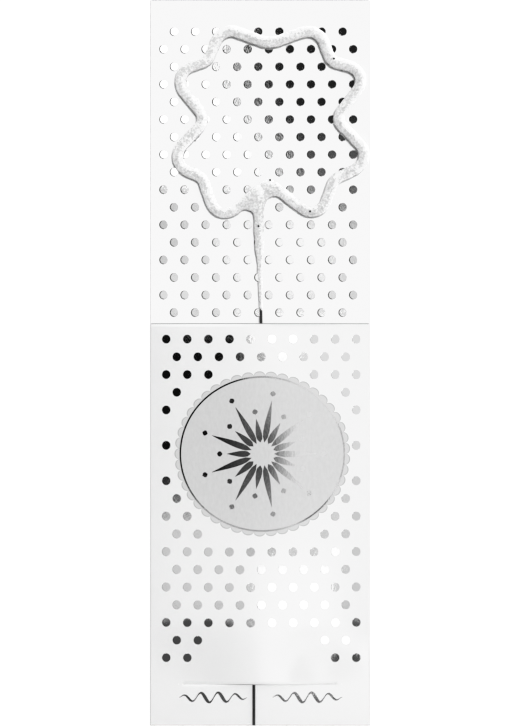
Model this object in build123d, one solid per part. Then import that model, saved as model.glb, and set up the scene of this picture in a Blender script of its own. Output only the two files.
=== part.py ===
from build123d import *
import math
import os

# A hand-bent wire sparkler in a four-leaf outline, threaded into its folded, foil-dotted gift card.
# The card lies on its back: X across it, Y along it towards its top edge, Z up out of its face.

# Card blank: a back panel with a shorter flap folded up over it along the bottom edge
CARD_WIDTH = 60.0
CARD_LENGTH = 198.0
CARD_THICKNESS = 0.4
FOLD_GAP = 0.3
FLAP_LENGTH = 109.8
SLIT_WIDTH = 43.6
SLIT_HEIGHT = 11.5
SLIT_GAP = 0.2

# Stamped foil: staggered rows of dots on both faces, and one fine ring on the flap
FOIL_THICKNESS = 0.06
DOT_DIAMETER = 2.3
DOT_SIDES = 5
DOT_PITCH = 5.75
DOT_SIDE_MARGIN = 3.2
PANEL_ROW_PITCH = 4.79
PANEL_FIRST_ROW = 8.6
PANEL_LAST_GAP = 1.5
PANEL_DOT_SHIFT = -0.45
FLAP_ROW_PITCH = 4.82
FLAP_FIRST_ROW = 4.3
FLAP_LAST_GAP = 5.0
FLAP_DOT_SHIFT = 0.35
BARE_BAND_HEIGHT = 13.5
BARE_BAND_WIDTH = 31.0
RING_WIDTH = 45.1
RING_LENGTH = 42.3
RING_LINE = 0.45
RING_SHIFT = 0.65
RING_DROP = 35.5
RING_BORDER = 3.0

# Core wire: straight stem, loop, and a short tail laid back beside the stem
WIRE_DIAMETER = 0.8
WIRE_SIDES = 5
WIRE_CLEARANCE = 0.15
WIRE_END_GAP = 0.4
WIRE_FOOT_X = -1.65
WIRE_EXIT_X = 0.4
FOOT_STRAIGHT = 20.5
FOOT_BEND = 300.0
EXIT_BEND = 200.0
STEM_LEAN = 2.1
STEM_BEND = 1.4
PEAK_BEND = 1.6
PEAK_OVERRUN = 0.8
TAIL_GAP = 0.2
TAIL_KINK = 5.6
TAIL_KINK_BEND = 6.0
TAIL_LENGTH = 16.6

# Bend chart of the loop, clockwise from the bottom left lobe.
# Each row is x, height above the flap's top edge, and the inside radius of the coated bend.
LOOP_BENDS = [
    (-11.3, 27.2, 2.9),
    (-15.7, 39.7, 1.2),
    (-25.8, 43.7, 3.3),
    (-14.5, 55.3, 2.0),
    (-24.7, 68.0, 3.3),
    (-14.2, 71.3, 1.2),
    (-10.2, 80.6, 2.8),
    (2.6, 75.9, 5.5),
    (15.7, 80.6, 3.0),
    (19.4, 71.2, 1.2),
    (30.4, 68.3, 3.0),
    (20.5, 55.6, 1.5),
    (31.2, 44.4, 3.0),
    (20.2, 39.1, 1.2),
    (16.2, 27.8, 2.9),
]
LOOP_PEAK = (2.1, 38.3, 0.4)

# Dried coating: a round bead along the loop, and a stem that thins to a bare wire
COAT_DIAMETER = 3.1
COAT_SIDES = 7
COAT_CLEARANCE = 0.2
# Each row is the drop below the neck, how many tail spacings the wires spread there,
# and the coating's skin outside them at the sides and at the faces.
STEM_COAT = [
    (-1.6, 2.20, 0.50, 0.80),
    (1.2, 1.75, 0.75, 1.05),
    (3.6, 1.30, 0.65, 1.05),
    (6.3, 1.00, 0.60, 1.00),
    (16.0, 1.00, 0.42, 0.80),
    (18.6, 0.15, 0.40, 0.45),
    (20.0, 0.00, 0.33, 0.33),
    (32.2, 0.00, 0.12, 0.12),
]

# Heights and edges that follow from the sizes above
FOLD_OUTER = CARD_THICKNESS + FOLD_GAP / 2
FOLD_INNER = FOLD_GAP / 2
FLAP_BASE = CARD_THICKNESS + FOLD_GAP
FLAP_FACE = FLAP_BASE + CARD_THICKNESS
TOP_EDGE = CARD_LENGTH / 2
FOLD_EDGE = -CARD_LENGTH / 2
FOLD_CENTRE = FOLD_EDGE + FOLD_OUTER
FLAP_EDGE = FOLD_EDGE + FLAP_LENGTH
SLIT_EDGE = FOLD_EDGE + SLIT_HEIGHT
WIRE_HEIGHT = FLAP_FACE + WIRE_CLEARANCE + WIRE_DIAMETER / 2
BULGE_RISE = WIRE_HEIGHT + WIRE_DIAMETER / 2 + WIRE_CLEARANCE - FLAP_BASE
LOOP_HEIGHT = CARD_THICKNESS + FOIL_THICKNESS + COAT_CLEARANCE + COAT_DIAMETER / 2
TAIL_PITCH = WIRE_DIAMETER + TAIL_GAP


def fold_profile(far_edge):
    """Side profile of one card layer, from far_edge to its half of the bottom fold."""
    back = Line((far_edge, 0), (FOLD_CENTRE, 0))
    outer = RadiusArc((FOLD_CENTRE, 0), (FOLD_EDGE, FOLD_OUTER), FOLD_OUTER)
    meeting = Line((FOLD_EDGE, FOLD_OUTER), (FOLD_CENTRE - FOLD_INNER, FOLD_OUTER))
    inner = RadiusArc((FOLD_CENTRE - FOLD_INNER, FOLD_OUTER), (FOLD_CENTRE, CARD_THICKNESS), -FOLD_INNER)
    face = Line((FOLD_CENTRE, CARD_THICKNESS), (far_edge, CARD_THICKNESS))
    end = Line((far_edge, CARD_THICKNESS), (far_edge, 0))
    return make_face(back + outer + meeting + inner + face + end)


def card_layer(far_edge):
    """One flat card layer with its half of the fold, lying on the ground plane."""
    return extrude(Plane.YZ * fold_profile(far_edge), CARD_WIDTH / 2, both=True)


def flap_line(height):
    """Line across the flap: flat margins, and a bulge of tangent arcs between the slit's ends."""
    half_card = CARD_WIDTH / 2
    half_slit = SLIT_WIDTH / 2
    turn = half_slit / 2
    middle = height + BULGE_RISE / 2
    crest = height + BULGE_RISE
    left_margin = Line((-half_card, height), (-half_slit, height))
    left_hollow = TangentArc((-half_slit, height), (-turn, middle), tangent=(1, 0))
    crown = ThreePointArc((-turn, middle), (0, crest), (turn, middle))
    right_hollow = TangentArc((half_slit, height), (turn, middle), tangent=(-1, 0))
    right_margin = Line((half_slit, height), (half_card, height))
    return left_margin + left_hollow + crown + right_hollow + right_margin


def flap_sheet(base, thickness):
    """A sheet that follows the bulged flap from the slit to its top edge."""
    half_card = CARD_WIDTH / 2
    left = Line((-half_card, base), (-half_card, base + thickness))
    right = Line((half_card, base), (half_card, base + thickness))
    section = make_face(flap_line(base) + right + flap_line(base + thickness) + left)
    return extrude(Plane.XZ.offset(-SLIT_EDGE) * section, SLIT_EDGE - FLAP_EDGE)


def front_flap():
    """Flat strip below the slit, and the bulged panel above it that passes over the wire."""
    strip = mirror(card_layer(SLIT_EDGE), about=Plane.XY.offset(FOLD_OUTER))
    panel = flap_sheet(FLAP_BASE, CARD_THICKNESS)
    slit_depth = FLAP_FACE + BULGE_RISE
    slit = Pos(0, SLIT_EDGE, slit_depth / 2) * Box(SLIT_WIDTH, SLIT_GAP, slit_depth * 2)
    return strip + panel - slit


def corner_reach(width, sides):
    """Centre to corner of the many-sided outline that equals a circle of that width in area."""
    turn = 2 * math.pi / sides
    return width / 2 * math.sqrt(turn / math.sin(turn))


def facet_section(width, depth, sides):
    """Many-sided outline equal in area to an ellipse of that width and depth, flat underneath."""
    turn = 2 * math.pi / sides
    across = corner_reach(width, sides)
    upward = corner_reach(depth, sides)
    angles = [turn * (side + 0.5) - math.pi / 2 for side in range(sides)]
    corners = [(across * math.cos(angle), upward * math.sin(angle)) for angle in angles]
    return make_face(Polyline(*corners, close=True))


def dot_centres(first_row, last_row, row_pitch, shift, wide_first):
    """Staggered rows of dots across the card, from first_row down to last_row."""
    wide_count = int((CARD_WIDTH - 2 * DOT_SIDE_MARGIN) / DOT_PITCH) + 1
    row_count = int((first_row - last_row) / row_pitch) + 1
    centres = []
    for row in range(row_count):
        is_wide = (row % 2 == 0) == wide_first
        count = wide_count if is_wide else wide_count - 1
        for column in range(count):
            x = shift + (column - (count - 1) / 2) * DOT_PITCH
            centres.append((x, first_row - row * row_pitch))
    return centres


def foil_dot(place):
    """One dot of foil lying on the given plane."""
    return extrude(place * facet_section(DOT_DIAMETER, DOT_DIAMETER, DOT_SIDES), FOIL_THICKNESS)


def back_foil_dots():
    """Dots on the part of the back panel that the flap leaves bare."""
    last_row = FLAP_EDGE + PANEL_LAST_GAP + DOT_DIAMETER / 2
    centres = dot_centres(TOP_EDGE - PANEL_FIRST_ROW, last_row, PANEL_ROW_PITCH, PANEL_DOT_SHIFT, False)
    dots = [foil_dot(Plane((x, y, CARD_THICKNESS))) for x, y in centres]
    return Compound(children=dots)


def on_flap_pattern(x, y):
    """True where the flap carries a dot: outside the roundel and its border and the bare band."""
    across = (x - RING_SHIFT) / (RING_WIDTH / 2 + RING_BORDER)
    along = (y - (FLAP_EDGE - RING_DROP)) / (RING_LENGTH / 2 + RING_BORDER + (RING_WIDTH - RING_LENGTH) / 2)
    outside_roundel = math.hypot(across, along) > 1
    in_bare_band = y < SLIT_EDGE + BARE_BAND_HEIGHT and abs(x) < BARE_BAND_WIDTH / 2
    return outside_roundel and not in_bare_band


def flap_plane(x, y):
    """Plane that lies on the flap's face at x, y, lifted by what the bulge curves under one dot."""
    half_slit = SLIT_WIDTH / 2
    turn = half_slit / 2
    arc = (turn**2 + (BULGE_RISE / 2) ** 2) / BULGE_RISE
    lift = corner_reach(DOT_DIAMETER, DOT_SIDES) ** 2 / (2 * arc)
    if abs(x) < turn:
        lean = -math.asin(x / arc)
        height = BULGE_RISE - arc * (1 - math.cos(lean))
    else:
        inward = max(half_slit - abs(x), 0)
        lean = -math.copysign(math.asin(inward / arc), x)
        height = arc * (1 - math.cos(lean))
    across = (math.cos(lean), 0, math.sin(lean))
    upward = (-math.sin(lean), 0, math.cos(lean))
    return Plane((x, y, FLAP_FACE + height + lift), x_dir=across, z_dir=upward)


def flap_foil_dots():
    """Dots on the flap's face, each lying flat on its bulge."""
    last_row = SLIT_EDGE + FLAP_LAST_GAP + DOT_DIAMETER / 2
    centres = dot_centres(FLAP_EDGE - FLAP_FIRST_ROW, last_row, FLAP_ROW_PITCH, FLAP_DOT_SHIFT, True)
    dots = [foil_dot(flap_plane(x, y)) for x, y in centres if on_flap_pattern(x, y)]
    return Compound(children=dots)


def roundel_foil_ring():
    """Fine foil ring round the roundel on the flap, following its bulge."""
    outer = Ellipse(RING_WIDTH / 2, RING_LENGTH / 2)
    inner = Ellipse(RING_WIDTH / 2 - RING_LINE, RING_LENGTH / 2 - RING_LINE)
    outline = Pos(RING_SHIFT, FLAP_EDGE - RING_DROP) * (outer - inner)
    prism = extrude(outline, FLAP_FACE + BULGE_RISE + FOIL_THICKNESS)
    return flap_sheet(FLAP_FACE, FOIL_THICKNESS) & prism


def crossing(start_a, along_a, start_b, along_b):
    """Where two lines in the loop's plane cross."""
    apart = start_b - start_a
    share = (apart.X * along_b.Y - apart.Y * along_b.X) / (along_a.X * along_b.Y - along_a.Y * along_b.X)
    return start_a + along_a * share


def section_plane(origin, along):
    """Plane across a tube, with its second axis pointing up."""
    upward = Vector(0, 0, 1)
    return Plane(origin, x_dir=upward.cross(along), z_dir=along)


def loop_point(bend):
    """A bend of the chart as a point at the loop's height."""
    return Vector(bend[0], FLAP_EDGE + bend[1], LOOP_HEIGHT)


def bend_radius(bend):
    """Centreline radius of a bend in the chart."""
    return bend[2] + COAT_DIAMETER / 2


def stem_line():
    """The stem's two ends: where it leaves the flap, and the neck where it turns into the loop."""
    leave = Vector(WIRE_EXIT_X, FLAP_EDGE, WIRE_HEIGHT)
    lean = math.radians(STEM_LEAN)
    upward = Vector(-math.sin(lean), math.cos(lean), 0)
    peak = loop_point(LOOP_PEAK)
    left_lobe = loop_point(LOOP_BENDS[0])
    neck = crossing(Vector(leave.X, leave.Y, LOOP_HEIGHT), upward, left_lobe, peak - left_lobe)
    return leave, neck


def tail_points():
    """The tail's bends: past the peak, the kink beside the stem, and the free end."""
    leave, neck = stem_line()
    down = (leave - neck).normalized()
    beside = Vector(-down.Y, down.X, 0).normalized() * TAIL_PITCH
    peak = loop_point(LOOP_PEAK)
    right_lobe = loop_point(LOOP_BENDS[-1])
    past_peak = peak + (peak - right_lobe).normalized() * PEAK_OVERRUN
    kink = neck + beside + down * TAIL_KINK
    end = neck + beside + down * TAIL_LENGTH
    return [past_peak, kink, end]


def core_wire():
    """The whole wire, from its foot below the slit, round the loop, to the end of its tail."""
    leave, neck = stem_line()
    foot = Vector(WIRE_FOOT_X, FOLD_EDGE + WIRE_END_GAP, WIRE_HEIGHT)
    foot_top = foot + Vector(0, FOOT_STRAIGHT, 0)
    loop = [loop_point(bend) for bend in LOOP_BENDS]
    points = [foot, foot_top, leave, neck] + loop + tail_points()
    loop_radii = [bend_radius(bend) for bend in LOOP_BENDS]
    radii = [FOOT_BEND, EXIT_BEND, STEM_BEND] + loop_radii + [PEAK_BEND, TAIL_KINK_BEND]
    path = FilletPolyline(*points, radius=radii)
    section = section_plane(path @ 0, path % 0) * facet_section(WIRE_DIAMETER, WIRE_DIAMETER, WIRE_SIDES)
    return sweep(section, path)


def loop_bead():
    """Round bead of dried coating along the whole loop, closed at the peak."""
    bends = LOOP_BENDS + [LOOP_PEAK]
    points = [loop_point(bend) for bend in bends]
    path = FilletPolyline(*points, radius=[bend_radius(bend) for bend in bends], close=True)
    section = section_plane(path @ 0, path % 0) * facet_section(COAT_DIAMETER, COAT_DIAMETER, COAT_SIDES)
    return sweep(section, path)


def stem_coat():
    """Coating of the stem: wide and flat at the neck, round below, thinning to the bare wire."""
    leave, neck = stem_line()
    down = (leave - neck).normalized()
    beside = Vector(-down.Y, down.X, 0).normalized()
    sections = []
    for drop, spread, side_skin, face_skin in STEM_COAT:
        gap = spread * TAIL_PITCH
        centre = neck + down * drop + beside * (gap / 2)
        width = WIRE_DIAMETER + gap + 2 * side_skin
        depth = WIRE_DIAMETER + 2 * face_skin
        sections.append(section_plane(centre, down) * facet_section(width, depth, COAT_SIDES))
    return loft(sections, ruled=True)


def sparkler_coating(wire):
    """The dried coating as one piece, dipped round the wire."""
    return loop_bead() + stem_coat() - wire


os.makedirs("parts", exist_ok=True)
bent_wire = core_wire()
PIECES = {
    "back_panel": card_layer(TOP_EDGE),
    "front_flap": front_flap(),
    "back_foil_dots": back_foil_dots(),
    "flap_foil_dots": flap_foil_dots(),
    "roundel_foil_ring": roundel_foil_ring(),
    "core_wire": bent_wire,
    "sparkler_coating": sparkler_coating(bent_wire),
}
for name, piece in PIECES.items():
    export_step(piece, f"parts/{name}.step")
    print(name, len(piece.solids()), "solids", round(piece.volume, 2), "mm3")
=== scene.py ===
# %% [markdown]
# # A sparkler on its folded gift card
# The real thing is a length of steel wire, bent to a four-leaf outline and dipped in sparkler paste. It is
# threaded through a slit in a folded card that is stamped with silver foil dots.
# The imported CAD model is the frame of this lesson: it gives the sizes and places, and it knows which pieces
# move together. Each piece is remade here as a finer mesh, where its solid stands, and then it gets a
# finish. Loading the frame comes first, because everything below is measured from it.

# %% Load the frame
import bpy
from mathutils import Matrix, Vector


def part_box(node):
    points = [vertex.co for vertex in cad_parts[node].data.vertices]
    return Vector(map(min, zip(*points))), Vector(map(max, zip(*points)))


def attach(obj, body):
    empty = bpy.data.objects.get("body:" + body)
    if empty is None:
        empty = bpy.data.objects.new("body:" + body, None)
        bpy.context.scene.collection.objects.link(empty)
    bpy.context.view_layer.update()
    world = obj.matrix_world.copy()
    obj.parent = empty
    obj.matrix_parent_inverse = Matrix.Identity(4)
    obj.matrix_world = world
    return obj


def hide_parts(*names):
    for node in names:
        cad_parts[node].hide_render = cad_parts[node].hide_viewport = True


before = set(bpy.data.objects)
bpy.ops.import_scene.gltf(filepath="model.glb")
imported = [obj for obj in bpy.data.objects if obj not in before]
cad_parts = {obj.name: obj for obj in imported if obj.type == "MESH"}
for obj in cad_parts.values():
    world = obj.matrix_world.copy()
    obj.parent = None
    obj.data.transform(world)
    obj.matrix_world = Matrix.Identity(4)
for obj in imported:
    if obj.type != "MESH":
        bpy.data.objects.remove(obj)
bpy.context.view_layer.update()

# %% Tools and units
import math

import bmesh
import bpy
from mathutils import Matrix, Vector, noise

MM = 0.001
scene = bpy.context.scene


def mesh_from(bm, name):
    """Turns a finished bmesh into a mesh."""
    mesh = bpy.data.meshes.new(name)
    bm.to_mesh(mesh)
    bm.free()
    return mesh


def piece_from(bm, name, body, slot, *nodes):
    """Turns a finished bmesh into a piece that rides on a body and stands for CAD nodes."""
    mesh = mesh_from(bm, name)
    piece = bpy.data.objects.new(name, mesh)
    scene.collection.objects.link(piece)
    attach(piece, body)
    if nodes:
        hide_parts(*nodes)
    print(name, "has", len(mesh.polygons), "faces and rides on", body)
    return piece


print("sizes are in metres, and a millimetre is", MM)


# %% [markdown]
# ## The camera
# The photograph looks straight down on the card, which fills the frame from top to bottom. A long lens
# keeps the card's edges parallel. The distance follows from the lens: the card's length is to the distance
# as the sensor's side is to the focal length.

# %% Camera straight above the card
FRAME_TALL = 726
FOCAL_LENGTH = 100.0
SENSOR_SIDE = 36.0
CARD_CENTRE_PIXEL = 0.5

panel_low, panel_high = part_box("back_panel")
card_length = panel_high.y - panel_low.y
camera_data = bpy.data.cameras.new("card_camera")
camera_data.lens = FOCAL_LENGTH
camera_data.sensor_width = SENSOR_SIDE
camera_data.clip_start = 0.01
camera = bpy.data.objects.new("card_camera", camera_data)
camera_height = card_length * FOCAL_LENGTH / SENSOR_SIDE
camera.location = (-CARD_CENTRE_PIXEL * card_length / FRAME_TALL, 0, camera_height + panel_high.z)
scene.collection.objects.link(camera)
scene.camera = camera
print("camera", round(camera.location.z, 4), "m above the floor")


# %% [markdown]
# ## The shape of the paper
# The flap is one sheet of card. Beside the slit it has to stay flat at both ends of the cut, so the wire
# lifts only its middle. Higher up nothing holds its sides, so there it bows from edge to edge.
# A function of x and y gives the height of the flap's face, and every stamped piece asks it where to lie.
# Handled card is never quite flat, so a slow noise of a few hundredths of a millimetre is added. Nobody
# sees that on paper, but mirror foil shows it at once.

# %% Card sizes from the frame
flap_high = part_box("front_flap")[1]
HALF_WIDTH = panel_high.x
TOP_EDGE = panel_high.y
FOLD_EDGE = panel_low.y
FOLD_RADIUS = panel_high.z
FOLD_CENTRE = FOLD_EDGE + FOLD_RADIUS
FLAP_EDGE = flap_high.y
FLAP_FACE = 2 * FOLD_RADIUS
CROWN_RISE = flap_high.z - FLAP_FACE
# A box doesn't show the card's thickness or its slit, so these repeat the CAD model's own values
CARD_THICKNESS = 0.4 * MM
SLIT_EDGE = FOLD_EDGE + 11.5 * MM
SLIT_HALF = 21.8 * MM
# Above the slit: the reach over which the bulge becomes an arch, and the paper's slow unevenness
ARCH_REACH = 18 * MM
UNEVEN_HEIGHT = 0.022 * MM
UNEVEN_SPAN = 17 * MM
WELD = 0.001 * MM
card_sides = [round(side / MM, 2) for side in (2 * HALF_WIDTH, card_length)]
print("card", card_sides, "mm, crown", round(CROWN_RISE / MM, 2), "mm")


# %% Height of the paper at any point
def ease(share):
    """Smooth step from 0 to 1."""
    share = min(max(share, 0), 1)
    return share * share * (3 - 2 * share)


def paper_wave(x, y):
    """Slow unevenness of handled card, none of it at the fold and the slit."""
    wave = (noise.noise(Vector((x / UNEVEN_SPAN, y / UNEVEN_SPAN, 0))) + 1) / 2
    return UNEVEN_HEIGHT * wave * ease((y - SLIT_EDGE) / ARCH_REACH)


def slit_bulge(x):
    """Rise of the flap beside the slit: two tangent arcs over the wire, flat past the cut's ends."""
    turn = SLIT_HALF / 2
    arc = (turn**2 + (CROWN_RISE / 2) ** 2) / CROWN_RISE
    if abs(x) < turn:
        return CROWN_RISE - arc + math.sqrt(arc**2 - x**2)
    inward = max(SLIT_HALF - abs(x), 0)
    return arc - math.sqrt(arc**2 - inward**2)


def edge_arch(x):
    """Rise of the flap near its free edge, where it bows from side to side."""
    return CROWN_RISE * (1 - (x / HALF_WIDTH) ** 2)


def flap_face(x, y):
    """Height of the flap's outer face."""
    if y < SLIT_EDGE - WELD:
        return FLAP_FACE
    share = ease((y - SLIT_EDGE) / ARCH_REACH)
    return FLAP_FACE + slit_bulge(x) * (1 - share) + edge_arch(x) * share + paper_wave(x, y)


def panel_face(x, y):
    """Height of the back panel's printed face."""
    return CARD_THICKNESS + paper_wave(x, y)


print("flap at the crown", round(flap_face(0, FLAP_EDGE) / MM, 3), "mm")


# %% [markdown]
# ## The card
# The blank is folded once at the bottom. The back panel carries the outside of the fold's lower half, and
# the flap carries the upper half, so that the flap can be opened. A sheet is best modelled as a thin skin
# first: a grid for the flat part, a quarter turn of spin for the fold, and a thickness at the end.
# The slit is made by laying two grids edge to edge and welding them only past the ends of the cut.

# %% Sheet helpers
ACROSS = 100
FOLD_STEPS = 8
CUT_ANGLE = math.radians(60)
SHADE_ANGLE = math.radians(25)
CUT_SOFTNESS = 0.19 * MM
SLIT_END = 1.0 * MM
PLAIN_SIDE, PRINT_SIDE, CUT_SIDE = 0, 1, 2
UP, DOWN = 1, -1


def lay_grid(bm, low, high, rows):
    """Adds a flat grid between two heights of the card, and returns its vertices."""
    place = Matrix.Translation((0, (low + high) / 2, 0))
    size = Matrix.Diagonal((HALF_WIDTH, (high - low) / 2, 1, 1))
    made = bmesh.ops.create_grid(bm, x_segments=ACROSS, y_segments=rows, size=1, matrix=place @ size)
    return made["verts"]


def spin_fold(bm, quarter):
    """Turns the sheet's lowest edge a quarter round the fold's centre."""
    edges = [e for e in bm.edges if all(abs(v.co.y - FOLD_CENTRE) < WELD for v in e.verts)]
    bmesh.ops.spin(
        bm, geom=edges, cent=(0, FOLD_CENTRE, FOLD_RADIUS), axis=(1, 0, 0), angle=quarter, steps=FOLD_STEPS
    )


def turn_faces(bm, way):
    """Turns all faces of a skin up or down."""
    bmesh.ops.recalc_face_normals(bm, faces=bm.faces[:])
    if sum(face.normal.z for face in bm.faces) * way < 0:
        bmesh.ops.reverse_faces(bm, faces=bm.faces[:])


def at_crease(edge):
    """True for an edge of the fold where panel and flap are one sheet, which nobody cut."""
    return all(abs(v.co.z - FOLD_RADIUS) < WELD and v.co.y < FOLD_CENTRE for v in edge.verts)


def at_slit_end(edge):
    """True for an edge at an end of the slit, where its two sides are still one sheet."""
    return all(
        abs(v.co.y - SLIT_EDGE) < WELD and abs(abs(v.co.x) - SLIT_HALF) < SLIT_END for v in edge.verts
    )


def thicken_sheet(bm):
    """Gives a skin the card's thickness, inwards from the outside of the fold, and softens its cut edges."""
    bmesh.ops.solidify(bm, geom=bm.faces[:], thickness=CARD_THICKNESS)
    bm.normal_update()
    sharp = [e for e in bm.edges if e.calc_face_angle(0) > CUT_ANGLE]
    rim = [e for e in sharp if not at_crease(e) and not at_slit_end(e)]
    on_rim = {vertex for edge in rim for vertex in edge.verts}
    cut = [face for face in bm.faces if all(vertex in on_rim for vertex in face.verts)]
    for face in cut:
        face.material_index = CUT_SIDE
    softened = bmesh.ops.bevel(
        bm, geom=rim, offset=CUT_SOFTNESS, segments=2, profile=0.5, affect="EDGES", material=-1
    )
    for face in softened["faces"]:
        face.material_index = CUT_SIDE
    bm.normal_update()
    for face in bm.faces:
        face.smooth = True
    for edge in bm.edges:
        edge.smooth = edge.calc_face_angle(0) < SHADE_ANGLE


print("cut edges are softened over", CUT_SOFTNESS / MM, "mm")

# %% Back panel
PANEL_ROWS = 120

bm = bmesh.new()
for vertex in lay_grid(bm, FOLD_CENTRE, TOP_EDGE, PANEL_ROWS):
    vertex.co.z = paper_wave(vertex.co.x, vertex.co.y)
spin_fold(bm, -math.pi / 2)
turn_faces(bm, DOWN)
thicken_sheet(bm)
back_card = piece_from(bm, "back_card_sheet", "back_card", "card", "back_panel")

# %% Front flap with its slit
STRIP_ROWS = 12
FLAP_ROWS = 100
PRINT_FACING = 0.7

bm = bmesh.new()
lay_grid(bm, FOLD_CENTRE, SLIT_EDGE, STRIP_ROWS)
for vertex in bm.verts:
    vertex.co.z = FLAP_FACE
spin_fold(bm, math.pi / 2)
for vertex in lay_grid(bm, SLIT_EDGE, FLAP_EDGE, FLAP_ROWS):
    vertex.co.z = flap_face(vertex.co.x, vertex.co.y)
weld = [v for v in bm.verts if abs(v.co.y - SLIT_EDGE) < WELD and abs(v.co.x) >= SLIT_HALF]
bmesh.ops.remove_doubles(bm, verts=weld, dist=WELD)
turn_faces(bm, UP)
thicken_sheet(bm)
for face in bm.faces:
    if face.material_index == PLAIN_SIDE and face.normal.z > PRINT_FACING:
        face.material_index = PRINT_SIDE
flap_card = piece_from(bm, "flap_sheet", "flap", "card", "front_flap")


# %% [markdown]
# ## The foil dots
# Hot-stamped foil has a flat mirror face and a rim that rolls down into the paper. The die strikes a little
# off square, so the rim is wider on one side, and there it draws a fine crescent on each dot. One dot is a
# short cone with an inset top that is shifted off centre, made once. Copies go to the centres of the CAD
# model's dots, and every vertex is then lifted onto the paper, so the dots bend with the flap.

# %% One dot
DOT_SIDES = 18
DOT_RADIUS = 1.19 * MM
DOT_STRETCH = 1.04
RIM_WIDTH = 0.015 * MM
RIM_HEIGHT = 0.010 * MM
PANEL_ROLL = (0.15 * MM, 0.055 * MM)
FLAP_ROLL = (0.04 * MM, 0.010 * MM)
STRIKE_SHARE = 0.85
STRIKE_SIDE = math.radians(14)
DOT_SINK = 0.02 * MM


def dot_form(roll_width, roll_height):
    """One foil dot on the plane z = 0: a rolled rim, widest on the left, and a flat mirror face."""
    bm = bmesh.new()
    bmesh.ops.create_cone(
        bm,
        cap_ends=True,
        segments=DOT_SIDES,
        radius1=DOT_RADIUS,
        radius2=DOT_RADIUS - RIM_WIDTH,
        depth=RIM_HEIGHT + DOT_SINK,
    )
    bmesh.ops.translate(bm, verts=bm.verts[:], vec=(0, 0, (RIM_HEIGHT - DOT_SINK) / 2))
    top = max(bm.faces, key=lambda face: face.calc_center_median().z)
    for edge in top.edges:
        edge.smooth = False
    bmesh.ops.inset_region(bm, faces=[top], thickness=roll_width, depth=roll_height)
    for edge in top.edges:
        edge.smooth = False
    strike = Vector((math.cos(STRIKE_SIDE), math.sin(STRIKE_SIDE), 0)) * roll_width * STRIKE_SHARE
    bmesh.ops.translate(bm, verts=top.verts[:], vec=strike)
    bmesh.ops.poke(bm, faces=[top])
    bmesh.ops.scale(bm, verts=bm.verts[:], vec=(1, DOT_STRETCH, 1))
    for face in bm.faces:
        face.smooth = True
    return mesh_from(bm, "dot_form")


panel_dot = dot_form(*PANEL_ROLL)
flap_dot = dot_form(*FLAP_ROLL)
print("one dot has", len(panel_dot.polygons), "faces")


# %% Where the frame has its dots
def island_centres(node):
    """Centres of the separate solids in a CAD node."""
    bm = bmesh.new()
    bm.from_mesh(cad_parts[node].data)
    bmesh.ops.remove_doubles(bm, verts=bm.verts[:], dist=WELD)
    left = set(bm.verts)
    centres = []
    while left:
        island = [left.pop()]
        for vertex in island:
            beside = {edge.other_vert(vertex) for edge in vertex.link_edges} & left
            left -= beside
            island.extend(beside)
        centres.append(sum((v.co for v in island), Vector()) / len(island))
    bm.free()
    return sorted(centres, key=lambda c: (-round(c.y, 5), c.x))


def stamp_dots(name, node, body, form, face_at):
    """Stamps a dot at each centre of a node's dots and lays it on the paper."""
    bm = bmesh.new()
    for centre in island_centres(node):
        first = len(bm.verts)
        bm.from_mesh(form)
        bm.verts.ensure_lookup_table()
        for vertex in bm.verts[first:]:
            vertex.co.x += centre.x
            vertex.co.y += centre.y
            vertex.co.z += face_at(vertex.co.x, vertex.co.y)
    return piece_from(bm, name, body, "foil", node)


panel_dots = stamp_dots("panel_dots", "back_foil_dots", "back_card", panel_dot, panel_face)
flap_dots = stamp_dots("flap_dots", "flap_foil_dots", "flap", flap_dot, flap_face)


# %% [markdown]
# ## The roundel
# A fine foil ring frames the middle of the flap. It is a circle of edges, extruded once and drawn in to
# make a flat band, then stretched to the ring's own width and length from the frame and laid on the flap.

# %% Foil ring
RING_SIDES = 160
RING_LINE = 0.45 * MM
RING_RELIEF = 0.05 * MM

ring_low, ring_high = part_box("roundel_foil_ring")
ring_centre = (ring_low + ring_high) / 2
ring_reach = (ring_high - ring_low) / 2

bm = bmesh.new()
outline = bmesh.ops.create_circle(bm, segments=RING_SIDES, radius=1)
grown = bmesh.ops.extrude_edge_only(bm, edges=bm.edges[:])
inner = [item for item in grown["geom"] if isinstance(item, bmesh.types.BMVert)]
bmesh.ops.scale(bm, verts=outline["verts"], vec=(ring_reach.x, ring_reach.y, 1))
bmesh.ops.scale(bm, verts=inner, vec=(ring_reach.x - RING_LINE, ring_reach.y - RING_LINE, 1))
for vertex in bm.verts:
    vertex.co.x += ring_centre.x
    vertex.co.y += ring_centre.y
    vertex.co.z = flap_face(vertex.co.x, vertex.co.y) + RING_RELIEF
turn_faces(bm, UP)
bmesh.ops.solidify(bm, geom=bm.faces[:], thickness=RING_RELIEF + DOT_SINK)
roundel_ring = piece_from(bm, "roundel_ring", "flap", "foil", "roundel_foil_ring")


# %% [markdown]
# ## Stamped strokes
# The middle of the roundel holds a burst of sparks, and the strip under the slit holds a plain wave on each
# side of the wire. A stroke of foil swells and tapers like a brush mark. A curve with a bevel gives that:
# its points carry a radius. It is made a mesh, pressed until its top is flat, and laid on the flap.

# %% Stroke helper
STROKE_SIDES = 8
STROKE_RELIEF = 0.04 * MM
PRESS_LIMIT = 0.015 * MM


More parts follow.
